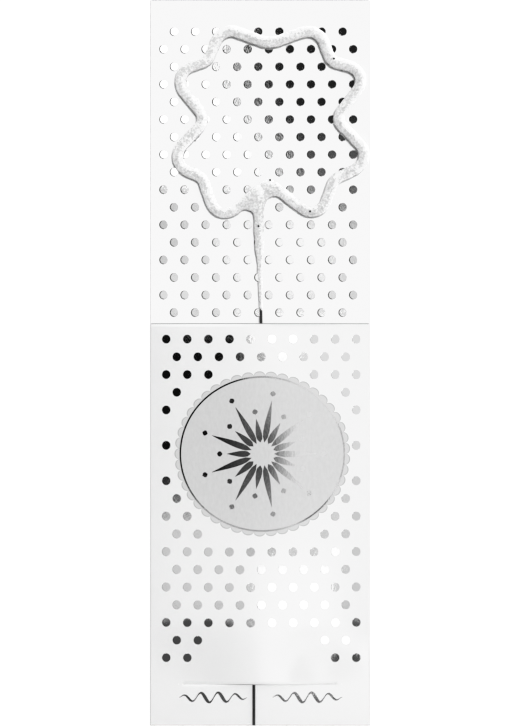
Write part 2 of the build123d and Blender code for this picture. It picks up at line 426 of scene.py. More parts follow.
def tube_mesh(points, radii, sides, closed=False):
    """Mesh of a round tube along points, with a radius at each of them."""
    curve = bpy.data.curves.new("tube", "CURVE")
    curve.dimensions = "3D"
    curve.twist_mode = "Z_UP"
    curve.bevel_depth = 1
    curve.bevel_resolution = sides // 2 - 2
    curve.use_fill_caps = not closed
    spline = curve.splines.new("POLY")
    spline.points.add(len(points) - 1)
    for place, point, radius in zip(spline.points, points, radii):
        place.co = (*point, 1)
        place.radius = radius
    spline.use_cyclic_u = closed
    holder = bpy.data.objects.new("tube", curve)
    mesh = bpy.data.meshes.new_from_object(holder)
    bpy.data.objects.remove(holder)
    bpy.data.curves.remove(curve)
    return mesh


def add_stroke(bm, points, radii):
    """Adds one foil stroke: a tapered tube pressed to a flat top and laid on the flap."""
    part = bmesh.new()
    part.from_mesh(tube_mesh(points, radii, STROKE_SIDES))
    bmesh.ops.remove_doubles(part, verts=part.verts[:], dist=WELD)
    for vertex in part.verts:
        lift = STROKE_RELIEF if vertex.co.z > -PRESS_LIMIT else -DOT_SINK
        vertex.co.z = flap_face(vertex.co.x, vertex.co.y) + lift
    for face in part.faces:
        face.smooth = False
    mesh = mesh_from(part, "stroke")
    bm.from_mesh(mesh)
    bpy.data.meshes.remove(mesh)


print("strokes stand", STROKE_RELIEF / MM, "mm proud")

# %% Burst of sparks in the roundel
RAYS = 18
RAY_STEPS = 9
RAY_START = 3.2 * MM
RAY_LONG = 14.6 * MM
RAY_SHORT = 9.6 * MM
RAY_HALF = 0.80 * MM
RAY_SWELL = 0.6
TIP_HALF = 0.05 * MM
SPARK_GAP = 2.0 * MM
SPARK_HALF = 0.75 * MM
# Stations of a spark: place along it and half width, both as shares of its half length
SPARK_FORM = [(-1.0, 0.0), (-0.5, 0.8), (0.0, 1.0), (0.5, 0.8), (1.0, 0.0)]

shares = [step / (RAY_STEPS - 1) for step in range(RAY_STEPS)]
middle = Vector((ring_centre.x, ring_centre.y, 0))
bm = bmesh.new()
for ray in range(RAYS):
    turn = math.tau * ray / RAYS
    along = Vector((math.cos(turn), math.sin(turn), 0))
    reach = RAY_LONG if ray % 2 == 0 else RAY_SHORT
    points = [middle + along * (RAY_START + (reach - RAY_START) * share) for share in shares]
    radii = [TIP_HALF + RAY_HALF * math.sin(math.pi * share**RAY_SWELL) for share in shares]
    add_stroke(bm, points, radii)
    spark = middle + along * (reach + SPARK_GAP)
    points = [spark + along * SPARK_HALF * place for place, width in SPARK_FORM]
    radii = [max(TIP_HALF, SPARK_HALF * width) for place, width in SPARK_FORM]
    add_stroke(bm, points, radii)
roundel_burst = piece_from(bm, "roundel_burst", "flap", "foil")

# %% Waves beside the wire
WAVE_LEFT = (-22.0 * MM, -3.6 * MM)
WAVE_RIGHT = (3.4 * MM, 22.4 * MM)
WAVE_LINE = FOLD_EDGE + 7.9 * MM
WAVE_SWING = 1.35 * MM
WAVE_PITCH = 4.7 * MM
WAVE_HALF = 0.42 * MM
WAVE_BODY = 0.6
WAVE_BEAT = 0.4
WAVE_TAPER = 0.5
WAVE_STEPS = 90

bm = bmesh.new()
for start, end in (WAVE_LEFT, WAVE_RIGHT):
    points = []
    radii = []
    for step in range(WAVE_STEPS + 1):
        share = step / WAVE_STEPS
        x = start + (end - start) * share
        phase = math.tau * (x - start) / WAVE_PITCH
        swell = math.sin(math.pi * share) ** WAVE_TAPER
        points.append(Vector((x, WAVE_LINE + WAVE_SWING * math.sin(phase) * swell, 0)))
        radii.append(TIP_HALF + WAVE_HALF * (WAVE_BODY - WAVE_BEAT * math.cos(phase)) * swell)
    add_stroke(bm, points, radii)
strip_waves = piece_from(bm, "strip_waves", "flap", "foil")


# %% [markdown]
# ## The bent wire
# One length of steel wire runs from its foot below the slit, behind the flap, up the stem, round the loop
# and back down beside the stem in a short tail. Wire bends in arcs between straight runs. A chain of edges
# with a vertex at each bend says that exactly: a vertex bevel of the right width turns each corner into an
# arc of the bend's own radius. The chain is then walked from end to end and given a round tube.

# %% Route of the wire
WIRE_RADIUS = 0.4 * MM
COAT_RADIUS = 1.55 * MM
ARC_STEP = math.radians(9)
FEWEST_STEPS = 3
# Heights off the table, and every bend below, are in millimetres
STEM_HEIGHT = 1.65
LOOP_HEIGHT = 2.21
# Bends of the loop: x, rise above the flap's edge, radius inside the coating
LOOP_BENDS = [
    (-11.3, 27.2, 2.9),
    (-15.7, 39.7, 1.2),
    (-25.8, 43.7, 3.3),
    (-14.5, 55.3, 2.0),
    (-24.7, 68.0, 3.3),
    (-14.2, 71.3, 1.2),
    (-10.2, 80.6, 2.8),
    (2.6, 75.9, 5.5),
    (15.7, 80.6, 3.0),
    (19.4, 71.2, 1.2),
    (30.4, 68.3, 3.0),
    (20.5, 55.6, 1.5),
    (31.2, 44.4, 3.0),
    (20.2, 39.1, 1.2),
    (16.2, 27.8, 2.9),
]
LOOP_PEAK = (2.1, 38.3, 0.4)
# Bends of the wire before and after the loop: x, rise, radius of its middle line, height off the table
FOOT_BENDS = [(-1.65, -109.4, 0, STEM_HEIGHT), (-1.65, -88.9, 300, STEM_HEIGHT), (0.4, 0, 200, STEM_HEIGHT)]
NECK = (-0.91, 35.8, 1.4, LOOP_HEIGHT)
TAIL_BENDS = [(1.46, 38.78, 1.6, LOOP_HEIGHT), (0.29, 30.25, 6.0, 2.12), (0.69, 19.25, 0, 1.95)]


def above_flap(x, rise, height):
    """A point given in millimetres: across, above the flap's edge and off the table."""
    return Vector((x * MM, FLAP_EDGE + rise * MM, height * MM))


def loop_bend(bend):
    """A bend of the loop, written as a bend of the wire in its middle."""
    x, rise, radius = bend
    return (x, rise, radius + COAT_RADIUS / MM, LOOP_HEIGHT)


def bent_line(bends, closed=False):
    """Points along straight runs with an arc of its own radius at each bend."""
    bm = bmesh.new()
    corners = [bm.verts.new(above_flap(x, rise, height)) for x, rise, radius, height in bends]
    for corner, after in zip(corners, corners[1:]):
        bm.edges.new((corner, after))
    if closed:
        bm.edges.new((corners[-1], corners[0]))
    start = corners[0].co.copy()
    for corner, bend in zip(corners, bends):
        if len(corner.link_edges) < 2:
            continue
        runs = [edge.other_vert(corner).co - corner.co for edge in corner.link_edges]
        turn = math.pi - runs[0].angle(runs[1])
        bmesh.ops.bevel(
            bm,
            geom=[corner],
            offset=bend[2] * MM * math.tan(turn / 2),
            offset_type="OFFSET",
            segments=max(FEWEST_STEPS, round(turn / ARC_STEP)),
            profile=0.5,
            affect="VERTICES",
            material=-1,
        )
    here = min(bm.verts, key=lambda v: (v.co - start).length)
    line = []
    passed = set()
    while here is not None:
        passed.add(here)
        line.append(here.co.copy())
        beside = [edge.other_vert(here) for edge in here.link_edges]
        here = next((vertex for vertex in beside if vertex not in passed), None)
    bm.free()
    return line


loop_bends = [loop_bend(bend) for bend in LOOP_BENDS]
wire_line = bent_line(FOOT_BENDS + [NECK] + loop_bends + TAIL_BENDS)
loop_line = bent_line(loop_bends + [loop_bend(LOOP_PEAK)], closed=True)
wire_length = sum((b - a).length for a, b in zip(wire_line, wire_line[1:]))
print("wire", len(wire_line), "points,", round(wire_length / MM, 1), "mm; loop", len(loop_line), "points")

# %% Wire as a tube
WIRE_SIDES = 12

bm = bmesh.new()
bm.from_mesh(tube_mesh(wire_line, [WIRE_RADIUS] * len(wire_line), WIRE_SIDES))
bmesh.ops.remove_doubles(bm, verts=bm.verts[:], dist=WELD)
for face in bm.faces:
    face.smooth = len(face.verts) == 4
bent_wire = piece_from(bm, "bent_wire", "sparkler", "wire", "core_wire")


# %% [markdown]
# ## The dried paste
# The loop was dipped, so its coating is a bead that thickens and thins, with a grainy skin and a web of
# paste where the stem meets the loop. Two tapered tubes, one round the loop and one down the stem, give the
# body, and short ones fill the web. A voxel remesh melts them into one skin, a little smoothing rounds the
# web, and noise moves the vertices in and out, for the pits and for the grain of the dried powder.

# %% Bead and stem as overlapping tubes
COAT_SIDES = 20
LUMP_SPAN = 9 * MM
LUMP_SHARE = 0.07
NECK_SHIFT = 0.45 * MM
# Coating of the stem: drop below the neck and radius, in millimetres
STEM_DROPS = [
    (-1.2, 1.75),
    (1.0, 1.95),
    (3.4, 1.66),
    (6.3, 1.46),
    (11.0, 1.36),
    (16.0, 1.26),
    (18.4, 0.88),
    (20.0, 0.72),
    (26.0, 0.62),
    (32.0, 0.50),
    (32.4, 0.42),
]
# Paths through the web of paste at the neck: x, rise above the flap's edge and radius, in millimetres
WEB_PATHS = [
    [(-5.0, 32.5, 1.50), (-3.2, 32.2, 1.45), (-1.2, 31.3, 1.40), (-0.4, 30.0, 1.40), (-0.05, 28.5, 1.42)],
    [(4.6, 36.1, 1.50), (2.25, 35.6, 1.50), (0.9, 34.4, 1.50), (-0.05, 32.6, 1.50), (-0.1, 30.9, 1.45)],
    [(-2.6, 33.2, 1.30), (-1.1, 33.9, 1.40), (0.4, 34.6, 1.40)],
    [(-1.5, 34.5, 1.35), (0.1, 35.6, 1.45), (1.6, 36.4, 1.45)],
]
neck_point = Vector((NECK[0] * MM + NECK_SHIFT, FLAP_EDGE + NECK[1] * MM, LOOP_HEIGHT * MM))
leave_x, leave_rise, _, leave_height = FOOT_BENDS[-1]
stem_down = (above_flap(leave_x, leave_rise, leave_height) - neck_point).normalized()


def lump(point):
    """How much thicker or thinner the bead is here."""
    return 1 + LUMP_SHARE * noise.noise(point / LUMP_SPAN)


stem_line = [neck_point + stem_down * drop * MM for drop, radius in STEM_DROPS]
loop_radii = [COAT_RADIUS * lump(point) for point in loop_line]
bm = bmesh.new()
bm.from_mesh(tube_mesh(loop_line, loop_radii, COAT_SIDES, closed=True))
bm.from_mesh(tube_mesh(stem_line, [radius * MM for drop, radius in STEM_DROPS], COAT_SIDES))
for path in WEB_PATHS:
    web_line = [above_flap(x, rise, LOOP_HEIGHT) for x, rise, radius in path]
    bm.from_mesh(tube_mesh(web_line, [radius * MM for x, rise, radius in path], COAT_SIDES))
bmesh.ops.remove_doubles(bm, verts=bm.verts[:], dist=WELD)
bmesh.ops.recalc_face_normals(bm, faces=bm.faces[:])
rough_mesh = mesh_from(bm, "paste_tubes")
print("paste tubes have", len(rough_mesh.polygons), "faces")

# %% One skin, smoothed
VOXEL = 0.19 * MM
SMOOTHING = 0.5
SMOOTH_ROUNDS = 6
WEB_ROUNDS = 60
WEB_REACH = 6.5 * MM
WEB_RISE = 33

holder = bpy.data.objects.new("paste_tubes", rough_mesh)
scene.collection.objects.link(holder)
melt = holder.modifiers.new("melt", "REMESH")
melt.mode = "VOXEL"
melt.voxel_size = VOXEL
melted = bpy.data.meshes.new_from_object(holder.evaluated_get(bpy.context.evaluated_depsgraph_get()))
bpy.data.objects.remove(holder)
bm = bmesh.new()
bm.from_mesh(melted)
web_middle = above_flap(0, WEB_RISE, LOOP_HEIGHT)
web = [v for v in bm.verts if (v.co - web_middle).length < WEB_REACH]
for verts, rounds in ((bm.verts[:], SMOOTH_ROUNDS), (web, WEB_ROUNDS)):
    for _ in range(rounds):
        bmesh.ops.smooth_vert(
            bm, verts=verts, factor=SMOOTHING, use_axis_x=True, use_axis_y=True, use_axis_z=True
        )
print("one skin of", len(bm.verts), "points,", len(web), "of them in the web")

# %% Grain of the paste
GRAIN_SPAN = 0.42 * MM
GRAIN_HEIGHT = 0.085 * MM
PIT_SPAN = 1.4 * MM
PIT_HEIGHT = 0.09 * MM
# Coarse grains of iron at the surface: x and rise above the flap's edge, in millimetres
IRON_GRAINS = [(2.86, 38.9), (13.5, 30.5), (20.2, 71.8), (-0.27, 26.3)]
IRON_RADIUS = 0.34 * MM
IRON_SLOT = 1

bm.normal_update()
for vertex in bm.verts:
    grain = GRAIN_HEIGHT * noise.noise(vertex.co / GRAIN_SPAN)
    pits = PIT_HEIGHT * noise.noise(vertex.co / PIT_SPAN)
    vertex.co += vertex.normal * (grain + pits)
bm.normal_update()
# Painted shade: how steep the skin is, so that the paste's colour darkens on its flanks
shade_steepness = bm.verts.layers.float.new("shade_steepness")
for vertex in bm.verts:
    vertex[shade_steepness] = 1 - abs(vertex.normal.z)
for face in bm.faces:
    face.smooth = True
for x, rise in IRON_GRAINS:
    spot = above_flap(x, rise, 0)
    seat = max((v.co for v in bm.verts if (v.co.xy - spot.xy).length < VOXEL), key=lambda co: co.z)
    place = Matrix.Translation(seat + Vector((0, 0, IRON_RADIUS / 2)))
    ball = bmesh.ops.create_icosphere(bm, subdivisions=1, radius=IRON_RADIUS, matrix=place)
    for face in {face for vertex in ball["verts"] for face in vertex.link_faces}:
        face.material_index = IRON_SLOT
paste_coat = piece_from(bm, "paste_coat", "sparkler", "coating", "sparkler_coating")


# %% [markdown]
# ## Finishes
# Materials are built from nodes, on Object coordinates, so that a pattern stays on its piece when the card
# is opened. Small helpers add a node and fill its inputs, either with plain values or with links.

# %% Node helpers
def fill_inputs(tree, node, inputs):
    """Sets or links a node's inputs, by name or by place."""
    for key, value in dict(inputs).items():
        if isinstance(value, bpy.types.NodeSocket):
            tree.links.new(value, node.inputs[key])
        else:
            node.inputs[key].default_value = value


def add_node(tree, kind, inputs=(), **settings):
    """Adds a node, sets its properties and fills its inputs."""
    made = tree.nodes.new(kind)
    for key, value in settings.items():
        setattr(made, key, value)
    fill_inputs(tree, made, inputs)
    return made


def math_node(tree, operation, *values):
    """Adds a math node and returns its result."""
    return add_node(tree, "ShaderNodeMath", enumerate(values), operation=operation).outputs[0]


def mix_colour(tree, share, first, second):
    """Mixes two colours by a share and returns the result."""
    made = add_node(tree, "ShaderNodeMix", {0: share, 6: first, 7: second}, data_type="RGBA")
    return made.outputs[2]


def soft_step(tree, value, low, high):
    """A smooth ramp from 0 at low to 1 at high."""
    inputs = {"Value": value, "From Min": low, "From Max": high}
    return add_node(tree, "ShaderNodeMapRange", inputs, interpolation_type="SMOOTHSTEP").outputs[0]


def grey(level):
    """An opaque grey."""
    return (level, level, level, 1)


def mix_greys(tree, share, first, second):
    """Mixes two greys by a share and returns the result."""
    return mix_colour(tree, share, grey(first), grey(second))


def new_material(name):
    """An empty node material with its Principled shader and its Object coordinates."""
    material = bpy.data.materials.new(name)
    material.use_nodes = True
    tree = material.node_tree
    shader = tree.nodes["Principled BSDF"]
    place = add_node(tree, "ShaderNodeTexCoord").outputs["Object"]
    return material, tree, shader, place


print("node helpers ready")


# %% Texture helpers
def stretched(tree, place, scale):
    """The same place, drawn out along the axes whose scale is small."""
    return add_node(tree, "ShaderNodeMapping", {"Vector": place, "Scale": scale}).outputs[0]


def mottle(tree, place, scale, detail=2.0, roughness=0.5):
    """Noise of 0 to 1 at a scale to the metre."""
    inputs = {"Vector": place, "Scale": scale, "Detail": detail, "Roughness": roughness}
    return add_node(tree, "ShaderNodeTexNoise", inputs).outputs[0]


def spread(tree, value, low, high):
    """Spreads a value of 0 to 1 between two limits."""
    inputs = {"Value": value, "To Min": low, "To Max": high}
    return add_node(tree, "ShaderNodeMapRange", inputs).outputs[0]


def relief(tree, height, strength, depth):
    """The normal of a surface with a fine relief."""
    inputs = {"Height": height, "Strength": strength, "Distance": depth}
    return add_node(tree, "ShaderNodeBump", inputs).outputs[0]


print("texture helpers ready")

# %% [markdown]
# ### Fibre, shared by card and foil
# Paper is felted from fibres, and stamped foil takes on their relief. Both finishes need that effect, so it
# is a node group with its own inputs: the size of the fibres goes in, and a height and a mottled tone come
# out.

# %% Fibre group
FIBRE_STRETCH = (1.0, 0.45, 1.0)
BROAD_SHARE = 0.12
FIBRE_SOCKETS = [
    ("Place", "INPUT", "NodeSocketVector"),
    ("Fibre scale", "INPUT", "NodeSocketFloat"),
    ("Height", "OUTPUT", "NodeSocketFloat"),
    ("Tone", "OUTPUT", "NodeSocketFloat"),
]


def fibre_group():
    """Relief and tone of paper fibres."""
    tree = bpy.data.node_groups.new("paper_fibre", "ShaderNodeTree")
    for name, way, kind in FIBRE_SOCKETS:
        tree.interface.new_socket(name, in_out=way, socket_type=kind)
    ins = add_node(tree, "NodeGroupInput").outputs
    fibre_place = stretched(tree, ins["Place"], FIBRE_STRETCH)
    fibre = mottle(tree, fibre_place, ins["Fibre scale"], detail=3.0, roughness=0.6)
    broad_scale = math_node(tree, "MULTIPLY", ins["Fibre scale"], BROAD_SHARE)
    broad = mottle(tree, ins["Place"], broad_scale, detail=4.0)
    tone = math_node(tree, "MULTIPLY", fibre, broad)
    add_node(tree, "NodeGroupOutput", {"Height": fibre, "Tone": tone})
    return tree


PAPER_FIBRE = fibre_group()


def add_fibre(tree, place, scale):
    """Places the fibre group in a material."""
    inputs = {"Place": place, "Fibre scale": scale}
    return add_node(tree, "ShaderNodeGroup", inputs, node_tree=PAPER_FIBRE).outputs


print("fibre group has", len(PAPER_FIBRE.nodes), "nodes")


# %% [markdown]
# ### Card
# The card is bright white board with a smooth, slightly silky surface. The flap's paper is painted a little
# greyer than the back panel's, as painted shade. The flap's outer face also carries grey print: a disc inside
# the foil ring and a row of scallops outside it. Both are masks worked out from the distance and the angle
# round the roundel's centre, so no picture is needed. The cut edges are painted dark grey, partly for the
# board's grey inner layer and partly as painted shade of the edge. At the slit that painted shade lies beside
# the wire and fades to paper further along the cut.

# %% Plain card
PAPER_WHITE = 0.875
PAPER_SHADE = 0.965
FIBRE_SCALE = 2600.0
PAPER_RELIEF = (0.25, 0.02 * MM)
SILK = (0.34, 0.50)


def paper_nodes(tree, shader, place, white, sheen):
    """Gives the shader the sheen and relief of the white board, and returns the paper's colour."""
    fibre = add_fibre(tree, place, FIBRE_SCALE)
    surface = {
        "Roughness": spread(tree, fibre["Height"], *sheen),
        "Normal": relief(tree, fibre["Height"], *PAPER_RELIEF),
    }
    fill_inputs(tree, shader, surface)
    return mix_greys(tree, fibre["Tone"], white, white * PAPER_SHADE)


def white_card():
    """Plain white board."""
    material, tree, shader, place = new_material("white_card")
    colour = paper_nodes(tree, shader, place, PAPER_WHITE, SILK)
    fill_inputs(tree, shader, {"Base Color": colour})
    return material


WHITE_CARD = white_card()
print("card finish", WHITE_CARD.name)

# %% Cut edges of the card
CUT_FIBRE_SCALE = 6000.0
# Painted shade of the cut edges, partly also the board's grey inner layer: dark and pale tones, and a paler
# tone at the card's sides
CUT_SHADE_DARK = 0.12
CUT_SHADE_PALE = 0.28
SIDE_CUT_SHADE = 0.55
# The flap's paper, painted a little greyer than the back panel's white as painted shade
FLAP_PAPER_SHADED = 0.79
# Painted shade at the slit: darkest beside the wire here, fading to paper over this reach
SLIT_SHADE_X = -3.6 * MM
SLIT_SHADE_REACH = 9.0 * MM


def shaded_cut_card():
    """Cut edge of the board, painted dark grey partly for its inner layer and partly as painted shade: paler
    at the sides, fading to paper along the slit away from the wire.
    """
    material, tree, shader, place = new_material("shaded_cut_card")
    fibre = add_fibre(tree, place, CUT_FIBRE_SCALE)
    core_and_shade = mix_greys(tree, fibre["Height"], CUT_SHADE_DARK, CUT_SHADE_PALE)
    parts = add_node(tree, "ShaderNodeSeparateXYZ", {0: place}).outputs
    across = math_node(tree, "ABSOLUTE", parts["X"])
    at_side = math_node(tree, "GREATER_THAN", across, HALF_WIDTH - CARD_THICKNESS)
    from_slit = math_node(tree, "ABSOLUTE", math_node(tree, "SUBTRACT", parts["Y"], SLIT_EDGE))
    from_wire = math_node(tree, "ABSOLUTE", math_node(tree, "SUBTRACT", parts["X"], SLIT_SHADE_X))
    at_slit = math_node(tree, "LESS_THAN", from_slit, CARD_THICKNESS)
    # Painted shade at the slit: dark beside the wire, fading to the flap's paper away from it
    shade_fade = math_node(tree, "MULTIPLY", at_slit, soft_step(tree, from_wire, 0.0, SLIT_SHADE_REACH))
    slit_shade = mix_colour(tree, shade_fade, core_and_shade, grey(FLAP_PAPER_SHADED))
    colour = mix_colour(tree, at_side, slit_shade, grey(SIDE_CUT_SHADE))
    fill_inputs(tree, shader, {"Base Color": colour, "Roughness": 0.8, "Specular IOR Level": 0.2})
    return material


SHADED_CUT_CARD = shaded_cut_card()
print("edge finish", SHADED_CUT_CARD.name)

# %% Printed face of the flap
SCALLOPS = 45
SCALLOP_REACH = 1.35 * MM
VARNISH = 1.4
GLOSS = (0.10, 0.20)
INK_GREY = 0.65
INK_SHADE = 0.80
SCALLOP_GREY = 0.60
OUTLINE_GREY = 0.36
OUTLINE_WIDTH = 0.20 * MM
INK_FIBRE_SCALE = 1600.0
INK_EDGE = 0.06 * MM


def roundel_masks(tree, place):
    """Masks of the disc, of the scallops round it and of their thin outline."""
    parts = add_node(tree, "ShaderNodeSeparateXYZ", {0: place}).outputs
    across = math_node(tree, "SUBTRACT", parts["X"], ring_centre.x)
    along = math_node(tree, "SUBTRACT", parts["Y"], ring_centre.y)
    along = math_node(tree, "MULTIPLY", along, ring_reach.x / ring_reach.y)
    squares = [math_node(tree, "POWER", part, 2.0) for part in (across, along)]
    radius = math_node(tree, "SQRT", math_node(tree, "ADD", *squares))
    disc = soft_step(tree, radius, ring_reach.x + INK_EDGE, ring_reach.x - INK_EDGE)
    angle = math_node(tree, "ARCTAN2", along, across)
    turn = math_node(tree, "MULTIPLY", angle, SCALLOPS / math.tau)
    phase = math_node(tree, "SUBTRACT", math_node(tree, "FRACT", turn), 0.5)
    dip = math_node(tree, "POWER", math_node(tree, "MULTIPLY", phase, 2.0), 2.0)
    rise = math_node(tree, "MAXIMUM", math_node(tree, "SUBTRACT", 1.0, dip), 0.0)
    lobe = math_node(tree, "SQRT", rise)
    reach = math_node(tree, "MULTIPLY_ADD", lobe, SCALLOP_REACH, ring_reach.x)
    past = math_node(tree, "SUBTRACT", radius, reach)
    scallop = soft_step(tree, past, INK_EDGE, -INK_EDGE)
    outline = soft_step(tree, past, -OUTLINE_WIDTH - INK_EDGE, -OUTLINE_WIDTH + INK_EDGE)
    return disc, scallop, outline


def printed_card():
    """White board painted a little greyer as painted shade, with the roundel's grey print."""
    material, tree, shader, place = new_material("printed_card")
    paper = paper_nodes(tree, shader, place, FLAP_PAPER_SHADED, GLOSS)
    disc, scallop, outline = roundel_masks(tree, place)
    fibre = add_fibre(tree, place, INK_FIBRE_SCALE)
    ink = mix_greys(tree, fibre["Height"], INK_GREY, INK_GREY * INK_SHADE)
    border = mix_greys(tree, outline, SCALLOP_GREY, OUTLINE_GREY)
    bordered = mix_colour(tree, scallop, paper, border)
    colour = mix_colour(tree, disc, bordered, ink)
    fill_inputs(tree, shader, {"Base Color": colour, "Specular IOR Level": VARNISH})
    return material


PRINTED_CARD = printed_card()
for sheet, print_side in ((back_card, WHITE_CARD), (flap_card, PRINTED_CARD)):
    for finish in (WHITE_CARD, print_side, SHADED_CUT_CARD):
        sheet.data.materials.append(finish)
print("print finish has", len(PRINTED_CARD.node_tree.nodes), "nodes")


# %% [markdown]
# ### Foil
# Stamped foil is a mirror that has been pressed into paper: almost no blur, but a fine mottle where the
# fibres show through. A dark place and a bright place meet in it as a grainy edge, not a clean one.

# %% Silver foil
FOIL_FIBRE_SCALE = 2200.0
FOIL_TONES = (0.97, 0.90)
FOIL_BLUR = (0.02, 0.09)
FOIL_RELIEF = (0.35, 0.012 * MM)


def silver_foil():
    """Mirror foil with the relief of the paper under it."""
    material, tree, shader, place = new_material("silver_foil")
    fibre = add_fibre(tree, place, FOIL_FIBRE_SCALE)
    surface = {
        "Base Color": mix_greys(tree, fibre["Tone"], *FOIL_TONES),
        "Roughness": spread(tree, fibre["Tone"], *FOIL_BLUR),
        "Normal": relief(tree, fibre["Height"], *FOIL_RELIEF),
        "Metallic": 1.0,
    }
    fill_inputs(tree, shader, surface)
    return material


SILVER_FOIL = silver_foil()
foil_pieces = (panel_dots, flap_dots, roundel_ring, roundel_burst, strip_waves)
for piece in foil_pieces:
    piece.data.materials.append(SILVER_FOIL)
print("foil on", len(foil_pieces), "pieces")


# %% [markdown]
# ### Wire and paste
# The wire is mild steel, darkened by the dip and the drying oven. The paste is a pale grey powder in a
# binder, with a few black grains of iron at its surface. Its skin is full of pits. Its steep flanks get
# painted shade: an attribute of the mesh says how steep the skin is, and the colour darkens there.

# %% Dark steel
STREAK_STRETCH = (1.0, 0.08, 1.0)
STREAK_SCALE = 5200.0
STEEL_TONES = (0.045, 0.16)
STEEL_BLUR = (0.30, 0.55)
STEEL_RELIEF = (0.3, 0.03 * MM)


def dark_steel():
    """Drawn steel wire with a dark scale."""
    material, tree, shader, place = new_material("dark_steel")
    streak = mottle(tree, stretched(tree, place, STREAK_STRETCH), STREAK_SCALE, detail=3.0)
    surface = {
        "Base Color": mix_greys(tree, streak, *STEEL_TONES),
        "Roughness": spread(tree, streak, *STEEL_BLUR),
        "Normal": relief(tree, streak, *STEEL_RELIEF),
        "Metallic": 1.0,
    }
    fill_inputs(tree, shader, surface)
    return material


bent_wire.data.materials.append(dark_steel())
print("wire finish", bent_wire.data.materials[0].name)


# %% Dried paste
PASTE_PALE = 0.82
PASTE_DULL = 0.50
# Grey of the painted shade on the bead's steep flanks
PASTE_FLANK_SHADE = 0.06
POWDER_SCALE = 1800.0
POWDER_SHARE = 0.8
CLOUD_SCALE = 420.0
CLOUD_SHARE = 0.2
POWDER_STEP = (0.36, 0.62)
# Painted shade: the steepness where it starts and how much of it shows
FLANK_SHADE_STEP = (0.6, 1.0)
FLANK_SHADE_SHARE = 0.6
POWDER_RELIEF = (0.12, 0.12 * MM)
IRON_BLACK = 0.02


def dried_paste():
    """Pale grey powder with a dull grainy skin and painted shade on its steep flanks."""
    material, tree, shader, place = new_material("dried_paste")
    grain = mottle(tree, place, POWDER_SCALE, detail=5.0, roughness=0.7)
    cloud = math_node(tree, "MULTIPLY", mottle(tree, place, CLOUD_SCALE), CLOUD_SHARE)
    tone = math_node(tree, "MULTIPLY_ADD", grain, POWDER_SHARE, cloud)
    powder = mix_greys(tree, soft_step(tree, tone, *POWDER_STEP), PASTE_DULL, PASTE_PALE)
    # Painted shade: the paste is darkened where its skin is steep
    steep = add_node(tree, "ShaderNodeAttribute", attribute_name="shade_steepness").outputs["Fac"]
    dark = math_node(tree, "MULTIPLY", soft_step(tree, steep, *FLANK_SHADE_STEP), FLANK_SHADE_SHARE)
    surface = {
        "Base Color": mix_colour(tree, dark, powder, grey(PASTE_FLANK_SHADE)),
        "Normal": relief(tree, grain, *POWDER_RELIEF),
        "Diffuse Roughness": 1.0,
        "Roughness": 0.5,
        "Specular IOR Level": 0.4,
    }
    fill_inputs(tree, shader, surface)
    return material


def iron_grain():
    """Black iron, matt from the binder."""
    material, tree, shader, place = new_material("iron_grain")
    fill_inputs(tree, shader, {"Base Color": grey(IRON_BLACK), "Roughness": 0.7})
    return material


for finish in (dried_paste(), iron_grain()):
    paste_coat.data.materials.append(finish)
print("paste finishes", [finish.name for finish in paste_coat.data.materials])


# %% [markdown]
# ## The studio
# The card lies on a white table under a wide, soft ceiling. Mirror foil shows whatever hangs above it, so
# the ceiling is where the dots get their tones: white panels, grey panels and black flags, each a soft-edged
# window in one emission material. The main light is a small lamp close beside the lens's own axis, so that
# the paste throws only a hairline of shadow. It is cross-polarised, as copy lamps are, and foil doesn't
# show it. A low, wide softbox at the upper right gives the paste its lit side. In a real studio it is
# flagged off the card, so here it is linked to the paste alone, and its light stops there: with no bounces
# left, it throws no glow from the paste onto the paper.

# %% Table
TABLE_HALF = 4.0
TABLE_DROP = -0.02 * MM
TABLE_CLOUD_SCALE = 6.0
TABLE_TONES = (0.975, 0.965)
TABLE_GLOW = 0.5


def flat_stage(name, half, height, material):
    """A square plane that isn't part of the object."""
    bm = bmesh.new()
    place = Matrix.Translation((0, 0, height))
    bmesh.ops.create_grid(bm, x_segments=1, y_segments=1, size=half, matrix=place)
    mesh = mesh_from(bm, name)
    mesh.materials.append(material)
    # Planes this big are found by bounced light anyway, and the lamps get the direct samples
    material.cycles.emission_sampling = "NONE"
    plane = bpy.data.objects.new(name, mesh)
    scene.collection.objects.link(plane)
    return plane


def table_white():
    """Matt white table top."""
    material, tree, shader, place = new_material("table_white")
    surface = {
        "Base Color": mix_greys(tree, mottle(tree, place, TABLE_CLOUD_SCALE), *TABLE_TONES),
        "Roughness": 0.9,
        "Specular IOR Level": 0.0,
        "Emission Color": grey(1.0),
        "Emission Strength": TABLE_GLOW,
    }
    fill_inputs(tree, shader, surface)
    return material


table = flat_stage("table", TABLE_HALF, TABLE_DROP, table_white())
print("table at", table.data.vertices[0].co.z)

# %% Ceiling of panels and flags
CEILING_HEIGHT = 2.5
CEILING_HALF = 1.7
CEILING_GREY = 0.62
WHITE_PANEL = 2.1
